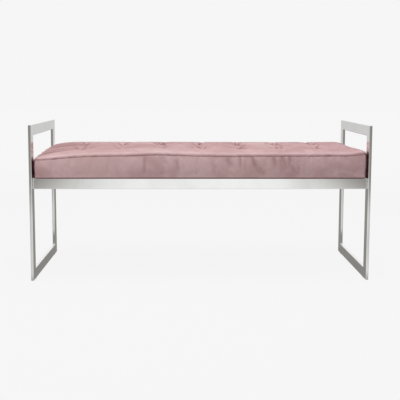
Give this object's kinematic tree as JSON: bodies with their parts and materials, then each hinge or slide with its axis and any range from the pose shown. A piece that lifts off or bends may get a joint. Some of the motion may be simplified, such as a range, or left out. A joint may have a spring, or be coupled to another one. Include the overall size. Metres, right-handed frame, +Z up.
{
  "type": "luggage bench",
  "caption": "Long low luggage bench: polished flat-tube end frames rise into hand rails at both ends, with a tufted velvet box cushion on rails between them.",
  "frame": {"origin": "on the floor, under the centre of the bench", "axes": "+X along the bench, +Y towards its back, +Z up"},
  "size_m": [1.2, 0.45, 0.5543],
  "materials": {
    "polished_steel": "mirror polished stainless flat tube",
    "turned_steel": "plain turned screws and sleeves",
    "velvet": "dusty pink short-pile velvet",
    "twine": "waxed pink upholstery twine",
    "foam": "open-cell seat foam",
    "plywood": "sanded plywood",
    "dust_cloth": "black non-woven dust cloth",
    "nylon": "moulded nylon"
  },
  "bodies": {
    "root": {"cross_bar_1": "polished_steel", "cross_bar_2": "polished_steel", "cross_bar_3": "polished_steel", "dust_cover": "dust_cloth", "foam_core": "foam", "front_seat_rail": "polished_steel", "left_floor_rail": "polished_steel", "left_front_frame_screw": "turned_steel", "left_front_glide": "nylon", "left_front_post": "polished_steel", "left_front_rail_plug": "polished_steel", "left_front_spacer": "turned_steel", "left_handle_rail": "polished_steel", "left_rear_frame_screw": "turned_steel", "left_rear_glide": "nylon", "left_rear_post": "polished_steel", "left_rear_rail_plug": "polished_steel", "left_rear_spacer": "turned_steel", "rear_seat_rail": "polished_steel", "right_floor_rail": "polished_steel", "right_front_frame_screw": "turned_steel", "right_front_glide": "nylon", "right_front_post": "polished_steel", "right_front_rail_plug": "polished_steel", "right_front_spacer": "turned_steel", "right_handle_rail": "polished_steel", "right_rear_frame_screw": "turned_steel", "right_rear_glide": "nylon", "right_rear_post": "polished_steel", "right_rear_rail_plug": "polished_steel", "right_rear_spacer": "turned_steel", "seat_board": "plywood", "seat_screw_1": "turned_steel", "seat_screw_2": "turned_steel", "seat_screw_3": "turned_steel", "seat_screw_4": "turned_steel", "seat_screw_5": "turned_steel", "seat_screw_6": "turned_steel", "tuft_tie_front_1": "twine", "tuft_tie_front_2": "twine", "tuft_tie_front_3": "twine", "tuft_tie_front_4": "twine", "tuft_tie_front_5": "twine", "tuft_tie_front_6": "twine", "tuft_tie_front_7": "twine", "tuft_tie_rear_1": "twine", "tuft_tie_rear_2": "twine", "tuft_tie_rear_3": "twine", "tuft_tie_rear_4": "twine", "tuft_tie_rear_5": "twine", "tuft_tie_rear_6": "twine", "tuft_tie_rear_7": "twine", "velvet_boxing": "velvet", "velvet_top_panel": "velvet"}
  },
  "joints": []
}
